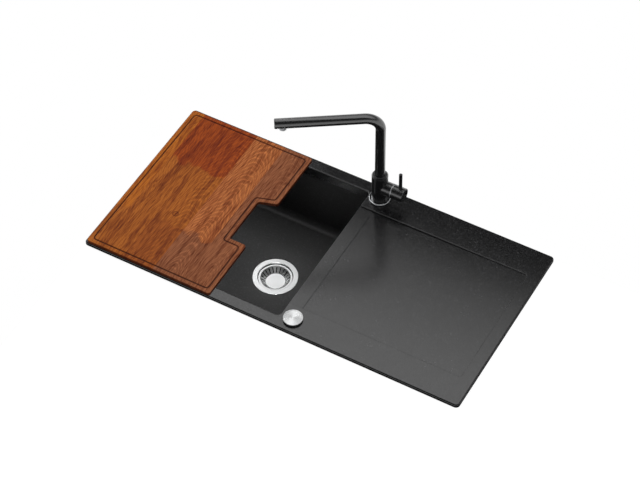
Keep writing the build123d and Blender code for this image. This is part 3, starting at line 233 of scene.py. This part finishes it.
# Pores run along the stave as short dark strokes: they are drawn 2.4 mm wide, so that they show.
pore_cells = stretched(2.4, 26, 8)
pores = add_node(tree, "Mapping", Vector=grown.outputs["Vector"], Scale=pore_cells)
pore = add_node(tree, "TexNoise", Vector=pores.outputs["Vector"], Scale=1.0, Detail=3.0)
pore_tint = add_node(tree, "ValToRGB", Fac=pore.outputs["Fac"])
set_stops(pore_tint, (0.34, "#c0a895"), (0.54, "#ffffff"))
swirl_cells = stretched(9, 130, 30)
figure = add_node(tree, "Mapping", Vector=grown.outputs["Vector"], Scale=swirl_cells)
swirl = add_node(tree, "TexNoise", Vector=figure.outputs["Vector"], Scale=1.0, Detail=3.0, Distortion=0.6)
swirl_tint = add_node(tree, "ValToRGB", Fac=swirl.outputs["Fac"])
set_stops(swirl_tint, (0.35, "#cfbaa9"), (0.54, "#ffffff"))
# One small knot shows near the middle: a dark heart, a pale collar and a dark rim.
knot_at = (-0.351, -0.076, board_high.z)
knot_radius = 0.009
from_knot = add_node(tree, "VectorMath", {"operation": "DISTANCE"}, Vector=place, Vector_001=knot_at)
knot = add_node(tree, "MapRange", Value=from_knot.outputs["Value"], From_Max=knot_radius)
knot_tint = add_node(tree, "ValToRGB", Fac=knot.outputs["Result"])
set_stops(knot_tint, (0.0, "#8c6a54"), (0.3, "#f4ece4"), (0.55, "#f4ece4"), (0.72, "#9a7a64"),
          (1.0, "#ffffff"))
# Painted shade and oil: the groove and the edges, which lie below the planed face, are drawn darker, which
# deepens the shade they show; oil and dust stay there too.
groove_depth = 0.0016
face_skin = 0.0001
sunk = add_node(tree, "MapRange", Value=axes.outputs["Z"], From_Min=board_high.z - groove_depth,
                From_Max=board_high.z - face_skin)
# This darkening below the planed face is partly painted shade.
groove_oil_and_shade_tint = add_node(tree, "ValToRGB", Fac=sunk.outputs["Result"])
set_stops(groove_oil_and_shade_tint, (0.0, "#8a7466"), (1.0, "#ffffff"))
tints = [ring_colour.outputs[2]]
tints += [t.outputs["Color"] for t in (pore_tint, swirl_tint, knot_tint, groove_oil_and_shade_tint)]
for tint in tints:
    mixed = add_node(tree, "Mix", {"data_type": "RGBA", "blend_type": "MULTIPLY"}, Factor_Float=1.0,
                     A_Color=colour, B_Color=tint)
    colour = mixed.outputs[2]
tree.links.new(colour, shader.inputs["Base Color"])
worn = add_node(tree, "MapRange", Value=pore.outputs["Fac"], To_Min=0.62, To_Max=0.5)
tree.links.new(worn.outputs["Result"], shader.inputs["Roughness"])
relief = add_node(tree, "Bump", Height=pore.outputs["Fac"], Strength=0.2, Distance=0.0002)
tree.links.new(relief.outputs["Normal"], shader.inputs["Normal"])
dress(wood, "chopping_board")
# It shades the bowl, but doesn't show in the gloss of the casting below it.
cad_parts["chopping_board"].visible_glossy = False

# Tap, spout and lever: turned and bent brass, powder-coated matt black.
# The coat is even, with a very fine orange peel that softens its highlights.
black_coat, tree, shader, place = new_finish("matt_black_powder_coat", Roughness=0.27, IOR=1.55,
                                             Specular_IOR_Level=1.0, Coat_Weight=0.6, Coat_Roughness=0.2)
peel_mm = 1.5
peel = add_node(tree, "TexNoise", Vector=place, Scale=per_metre(peel_mm), Detail=2.0)
coat = add_node(tree, "ValToRGB", Fac=peel.outputs["Fac"])
set_stops(coat, (0.3, "#080809"), (0.7, "#0e0e0f"))
tree.links.new(coat.outputs["Color"], shader.inputs["Base Color"])
relief = add_node(tree, "Bump", Height=peel.outputs["Fac"], Strength=0.12, Distance=0.0002)
tree.links.new(relief.outputs["Normal"], shader.inputs["Normal"])
dress(black_coat, "tap_body", "spout", "lever_hub", "lever_pin")

# Base ring, aerator and cartridge nut: brass with a bright chrome plate, polished on the base ring.
# The aerator and the nut were only turned before plating, so they stay satin.
chrome, tree, shader, place = new_finish("polished_chrome", Metallic=1.0, Base_Color=srgb("#dcdee0"))
smear_mm = 6
smear = add_node(tree, "TexNoise", Vector=place, Scale=per_metre(smear_mm), Detail=2.0)
polish = add_node(tree, "MapRange", Value=smear.outputs["Fac"], To_Min=0.05, To_Max=0.11)
tree.links.new(polish.outputs["Result"], shader.inputs["Roughness"])
dress(chrome, "tap_base_ring")


def mottle(tree, shader, place, size_mm, detail, first, second):
    """Colour a finish between two hex codes by a noise whose cells are this wide, and return the noise."""
    noise = add_node(tree, "TexNoise", Vector=place, Scale=per_metre(size_mm), Detail=detail)
    tint = add_node(tree, "Mix", {"data_type": "RGBA"}, Factor_Float=noise.outputs["Fac"],
                    A_Color=srgb(first), B_Color=srgb(second))
    tree.links.new(tint.outputs[2], shader.inputs["Base Color"])
    return noise


satin_chrome, tree, shader, place = new_finish("satin_chrome", Metallic=1.0, Roughness=0.5)
turning_mm = 1.5
mottle(tree, shader, place, turning_mm, 2.0, "#d8dadc", "#f2f3f4")
dress(satin_chrome, "cartridge_nut", "aerator_ring")

# Strainer, push button, overflow cover and screws: stainless steel, brushed on a turning spindle.
# The circular brush marks stretch each reflection into a fan towards the middle.
# Under its rim the strainer's cup is painted near-black, as painted shade in the gap below the rim.
brush_mm = 1.2
strainer_low, strainer_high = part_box("strainer_flange")
rim_depth = 0.003
cup_shade_fade = 0.001
cup_top = strainer_high.z - rim_depth


def brushed_steel(name, axis, code, roughness, fan, cup_shade_below=None):
    """Stainless steel with brush marks round the piece's own middle, about one of the three axes."""
    finish, tree, shader, place = new_finish(name, Metallic=1.0, Roughness=roughness, Anisotropic=fan)
    round_axis = add_node(tree, "Tangent", {"direction_type": "RADIAL", "axis": axis})
    tree.links.new(round_axis.outputs["Tangent"], shader.inputs["Tangent"])
    brush = add_node(tree, "TexNoise", Vector=place, Scale=per_metre(brush_mm), Detail=3.0)
    steel = add_node(tree, "Mix", {"data_type": "RGBA"}, Factor_Float=brush.outputs["Fac"],
                     A_Color=srgb(code), B_Color=srgb("#e2e3e3"))
    # Below that height the steel is painted near-black: painted shade, not the steel's own colour.
    if cup_shade_below is not None:
        height = add_node(tree, "SeparateXYZ", Vector=place)
        above = add_node(tree, "MapRange", Value=height.outputs["Z"], From_Min=cup_shade_below - cup_shade_fade,
                         From_Max=cup_shade_below)
        steel = add_node(tree, "Mix", {"data_type": "RGBA"}, Factor_Float=above.outputs["Result"],
                         A_Color=srgb("#1c1c1d"), B_Color=steel.outputs[2])
    tree.links.new(steel.outputs[2], shader.inputs["Base Color"])
    return finish


dress(brushed_steel("spun_stainless_steel", "Z", "#d4d5d6", 0.27, 0.9), "control_button")
dress(brushed_steel("satin_stainless_steel", "Z", "#e4e5e5", 0.34, 0.4), "strainer_basket")
dress(brushed_steel("drawn_stainless_steel", "Z", "#e4e5e5", 0.32, 0.6, cup_top), "strainer_flange")
overflow_steel = brushed_steel("brushed_overflow_steel", "X", "#b4b5b6", 0.3, 0.75)
dress(overflow_steel, "overflow_cover", "overflow_screw", "waste_screws")

# Clamps, stud, plate, set screws and pins: mild steel, pressed or turned, then zinc plated.
# The plate is a dull grey, with a faint spangle.
zinc, tree, shader, place = new_finish("zinc_plated_steel", Metallic=1.0, Roughness=0.36)
spangle_mm = 4
spangle_share = 0.15
spangle = add_node(tree, "TexVoronoi", Vector=place, Scale=per_metre(spangle_mm))
plate = add_node(tree, "Mix", {"data_type": "RGBA"}, Factor_Float=spangle_share,
                 A_Color=srgb("#a9adb1"), B_Color=spangle.outputs["Color"])
tree.links.new(plate.outputs[2], shader.inputs["Base Color"])
dress(zinc, "clamp_claws", "clamp_screws", "tap_stud", "horseshoe_plate", "rocker_pin", "lever_pivot_pin",
      "lever_set_screw", "spout_set_screw", "control_spring", "lift_pin")

# Return spring: zinc-plated spring wire, coiled and held between the sleeve's floor and the plunger.
# It shortens as the button goes down, so it is a piece of its own that stands for the rigid coil.
spring_low, spring_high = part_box("control_spring")
button_low, button_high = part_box("control_button")
button_middle = (button_low + button_high) / 2
wire_radius = 0.0008
wire_sides = 10
coil_radius = 0.009
coil_turns = 5
steps_per_turn = 36
coil_steps = coil_turns * steps_per_turn
coil_rise = spring_high.z - spring_low.z - 2 * wire_radius
coil = bmesh.new()
bmesh.ops.create_circle(coil, segments=wire_sides, radius=wire_radius)
bmesh.ops.rotate(coil, cent=(0, 0, 0), matrix=Matrix.Rotation(pi / 2, 3, "X"), verts=coil.verts)
wire_start = Vector((button_middle.x + coil_radius, button_middle.y, spring_low.z + wire_radius))
bmesh.ops.translate(coil, vec=wire_start, verts=coil.verts)
bmesh.ops.spin(coil, geom=coil.verts[:] + coil.edges[:], cent=button_middle, axis=(0, 0, 1),
               steps=coil_steps, angle=2 * pi * coil_turns, dvec=(0, 0, coil_rise / coil_steps))
bmesh.ops.holes_fill(coil, edges=[e for e in coil.edges if e.is_boundary], sides=wire_sides)
bmesh.ops.recalc_face_normals(coil, faces=coil.faces)
for face in coil.faces:
    face.smooth = len(face.verts) == 4
scene = bpy.context.scene


def new_piece(name, shape, finish):
    """Put a finished bmesh into the scene as an object of this name, with its material."""
    mesh = bpy.data.meshes.new(name)
    shape.to_mesh(mesh)
    shape.free()
    mesh.materials.append(finish)
    made = bpy.data.objects.new(name, mesh)
    scene.collection.objects.link(made)
    return made


return_spring = new_piece("return_spring", coil, zinc)
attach(return_spring, "sink")
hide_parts("control_spring")
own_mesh(return_spring)

# Stud nut and lever stem: free-machining brass, left as turned.
# Air has tarnished it a little, in patches.
brass, tree, shader, place = new_finish("turned_brass", Metallic=1.0, Roughness=0.3)
tarnish_mm = 7
mottle(tree, shader, place, tarnish_mm, 3.0, "#a5823f", "#c9a65c")
dress(brass, "stud_nut", "lever_stem")

# Seals, gaskets, washers and O-rings: black nitrile rubber, moulded or cut from sheet.
# A faint bloom greys it in patches.
rubber, tree, shader, place = new_finish("nitrile_rubber", Roughness=0.7)
bloom_mm = 5
mottle(tree, shader, place, bloom_mm, 3.0, "#161616", "#262626")
dress(rubber, "flange_gasket", "waste_gasket", "basket_seal", "overflow_gasket", "control_gasket",
      "control_washer", "tap_base_gasket", "horseshoe_washer", "spout_o_rings")

# Waste, overflow elbow, sleeve and nut, glands, rocker, cartridge, spout bush and aerator screen.
# They are injection-moulded polypropylene, and the spark-eroded moulds leave a fine grain.
plastic, tree, shader, place = new_finish("moulded_polypropylene", Roughness=0.5, IOR=1.49)
spark_mm = 1.5
spark = mottle(tree, shader, place, spark_mm, 2.0, "#2a2b2d", "#38393b")
relief = add_node(tree, "Bump", Height=spark.outputs["Fac"], Strength=0.2, Distance=0.0002)
tree.links.new(relief.outputs["Normal"], shader.inputs["Normal"])
dress(plastic, "waste_body", "waste_cable_gland", "overflow_elbow", "control_sleeve", "control_nut",
      "control_cable_gland", "lift_rocker", "cartridge_body", "cartridge_rotor", "spout_bush",
      "aerator_screen")

# Cartridge discs: alumina ceramic, fired and lapped flat, so that one slides on the other.
# They are off-white and smooth, with a faint cloud from firing.
ceramic, tree, shader, place = new_finish("lapped_alumina", Roughness=0.2)
fired_mm = 3
mottle(tree, shader, place, fired_mm, 2.0, "#dcd7cc", "#ebe7de")
dress(ceramic, "fixed_disc", "moving_disc")

# Floor: a pale sheet at the level of the worktop, with the sink's cut-out in it.
# It is white to the camera and to reflections, and keeps a soft shadow beside the rim.
sink_low, sink_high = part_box("sink_body")
cut_back = 0.012


def flat_sheet(low, high):
    """A level rectangle between two corners, as a bmesh."""
    shape = bmesh.new()
    bmesh.ops.create_grid(shape, x_segments=1, y_segments=1, size=0.5)
    bmesh.ops.scale(shape, vec=(high.x - low.x, high.y - low.y, 1), verts=shape.verts)
    bmesh.ops.translate(shape, vec=(low + high) / 2, verts=shape.verts)
    return shape


def sheet_round_sink(name, finish, level, front, side, behind):
    """A stage sheet that reaches this far past the rim's front, right, and back and left, with a cut-out."""
    low = Vector((sink_low.x - behind, sink_low.y - front, level))
    high = Vector((sink_high.x + side, sink_high.y + behind, level))
    shape = flat_sheet(low, high)
    for corner, inward in ((sink_low, cut_back), (sink_high, -cut_back)):
        for across_sheet in (Vector((1, 0, 0)), Vector((0, 1, 0))):
            everything = shape.verts[:] + shape.edges[:] + shape.faces[:]
            bmesh.ops.bisect_plane(shape, geom=everything, plane_co=corner + across_sheet * inward,
                                   plane_no=across_sheet)
    middle_face = min(shape.faces, key=lambda f: f.calc_center_median().to_2d().length)
    bmesh.ops.delete(shape, geom=[middle_face], context="FACES_ONLY")
    made = new_piece(name, shape, finish)
    return made


pale, tree, shader, place = new_finish("pale_floor", Roughness=0.9, Specular_IOR_Level=0.0,
                                       Base_Color=srgb("#b0b0b0"), Emission_Color=srgb("#ffffff"))
floor_glow = 0.7
rays = add_node(tree, "LightPath")
seen = rays.outputs["Is Camera Ray"]
for ray in ("Is Glossy Ray", "Is Transmission Ray"):
    either = add_node(tree, "Math", {"operation": "MAXIMUM"}, Value=seen, Value_001=rays.outputs[ray])
    seen = either.outputs["Value"]
glow = add_node(tree, "Math", {"operation": "MULTIPLY"}, Value=seen, Value_001=floor_glow)
tree.links.new(glow.outputs["Value"], shader.inputs["Emission Strength"])
sheet_drop = 0.0004
sheet_round_sink("floor_sheet", pale, -sheet_drop, front=0.8, side=0.8, behind=-0.004)

# Black flag: a card laid round the rim, which only the gloss of the rim's sides sees.
# It gives the black casting a dark outline against the white floor.
velvet, tree, shader, place = new_finish("black_velvet", Roughness=1.0, Specular_IOR_Level=0.0)
nap_mm = 2
mottle(tree, shader, place, nap_mm, 2.0, "#020202", "#060606")
flag = sheet_round_sink("black_flag", velvet, -sheet_drop / 2, front=0.04, side=0.04, behind=0.04)
flag.visible_camera = False
flag.visible_diffuse = False
flag.visible_shadow = False

# Camera: a long lens from the front right and well above, as in the photograph.
# It looks level with the rim, near the middle of the sink.
view_azimuth = radians(30.21)
view_elevation = radians(49.632)
view_roll = radians(-0.891)
view_distance = 5.3528
view_target = Vector((-0.00225, 0.0111, sink_high.z))
camera_data = bpy.data.cameras.new("camera")
camera_data.sensor_width = 36.0
camera_data.lens = 126.9
camera_data.clip_end = 20.0
camera = bpy.data.objects.new("camera", camera_data)
aim = Matrix.Rotation(view_azimuth, 4, "Z") @ Matrix.Rotation(pi / 2 - view_elevation, 4, "X")
aim = aim @ Matrix.Rotation(view_roll, 4, "Z")
to_camera = aim.to_3x3() @ Vector((0, 0, 1))
camera.matrix_world = Matrix.Translation(view_target + to_camera * view_distance) @ aim
scene.collection.objects.link(camera)
scene.camera = camera
scene.view_settings.view_transform = "Standard"

# Studio: a white surround that darkens overhead, and one soft panel above the back of the sink.
# The panel fades towards its far edge, and that fade runs across the deck as a sheen from front to back.
world = bpy.data.worlds.new("white_surround")
scene.world = world
world.use_nodes = True
tree = world.node_tree
surround = tree.nodes["Background"]
surround.inputs["Color"].default_value = srgb("#ffffff")
fill_light = 1.0
ceiling_light = 0.03
# How steeply upwards a direction points where the dimming starts and ends: straight up is 1.
dimming_starts = 0.15
dimming_ends = 0.5
sky = add_node(tree, "SeparateXYZ", Vector=add_node(tree, "TexCoord").outputs["Generated"])
ceiling = add_node(tree, "MapRange", {"interpolation_type": "SMOOTHSTEP"}, Value=sky.outputs["Z"],
                   From_Min=dimming_starts, From_Max=dimming_ends, To_Min=1.0, To_Max=ceiling_light)
rays = add_node(tree, "LightPath")
mirrored = add_node(tree, "Math", {"operation": "MAXIMUM"}, Value=rays.outputs["Is Glossy Ray"],
                    Value_001=rays.outputs["Is Transmission Ray"])
level = add_node(tree, "Mix", {"data_type": "FLOAT"}, Factor_Float=mirrored.outputs["Value"],
                 A_Float=fill_light, B_Float=ceiling.outputs["Result"])
level = add_node(tree, "Mix", {"data_type": "FLOAT"}, Factor_Float=rays.outputs["Is Camera Ray"],
                 A_Float=level.outputs["Result"], B_Float=1.0)
tree.links.new(level.outputs["Result"], surround.inputs["Strength"])

panel_height = 0.75
panel_low = Vector((-1.1, 0.1, panel_height))
panel_high = Vector((0.6, 0.8, panel_height))
lit_cloth, tree, shader, place = new_finish("lit_cloth", Specular_IOR_Level=0.0, Base_Color=srgb("#000000"),
                                            Emission_Strength=1.5)
axes = add_node(tree, "SeparateXYZ", Vector=place)
fade = add_node(tree, "MapRange", Value=axes.outputs["Y"], From_Min=panel_low.y, From_Max=panel_high.y)
glow = add_node(tree, "ValToRGB", Fac=fade.outputs["Result"])
set_stops(glow, (0.0, 1.0), (0.35, 0.86), (0.55, 0.65), (0.72, 0.55), (0.84, 0.2), (0.93, 0.0))
# A brighter patch stands where the strainer mirrors the panel to the camera.
strainer_middle = (strainer_low + strainer_high) / 2
mirror_way = Vector((-to_camera.x, -to_camera.y, to_camera.z))
patch_shift = Vector((-0.05, -0.03, 0))
patch_core = 0.04
patch_edge = 0.12
patch_light = 4.0
patch_middle = strainer_middle + mirror_way * (panel_height - strainer_middle.z) / mirror_way.z + patch_shift
from_patch = add_node(tree, "VectorMath", {"operation": "DISTANCE"}, Vector=place, Vector_001=patch_middle)
patch = add_node(tree, "MapRange", {"interpolation_type": "SMOOTHSTEP"}, Value=from_patch.outputs["Value"],
                 From_Min=patch_core, From_Max=patch_edge, To_Min=patch_light, To_Max=0.0)
lit = add_node(tree, "Mix", {"data_type": "RGBA", "blend_type": "ADD"}, Factor_Float=1.0,
               A_Color=glow.outputs["Color"], B_Color=patch.outputs["Result"])
tree.links.new(lit.outputs[2], shader.inputs["Emission Color"])
lit_cloth.cycles.emission_sampling = "NONE"
panel = new_piece("soft_panel", flat_sheet(panel_low, panel_high), lit_cloth)
panel.visible_camera = False

# Snoot: a small lamp in a tube, which looks over the front rim into the bowl.
# It lights the bars of the strainer's basket.
snoot_way = Vector((0.15, -0.35, 0.925))
snoot_distance = 0.92
snoot_light = bpy.data.lights.new("snoot", "SPOT")
snoot_light.energy = 40
snoot_light.spot_size = radians(7)
snoot_light.spot_blend = 0.5
snoot_light.shadow_soft_size = 0.05
snoot = bpy.data.objects.new("snoot", snoot_light)
snoot.rotation_euler = snoot_way.to_track_quat("Z", "Y").to_euler()
snoot.location = strainer_middle + snoot_way.normalized() * snoot_distance
scene.collection.objects.link(snoot)
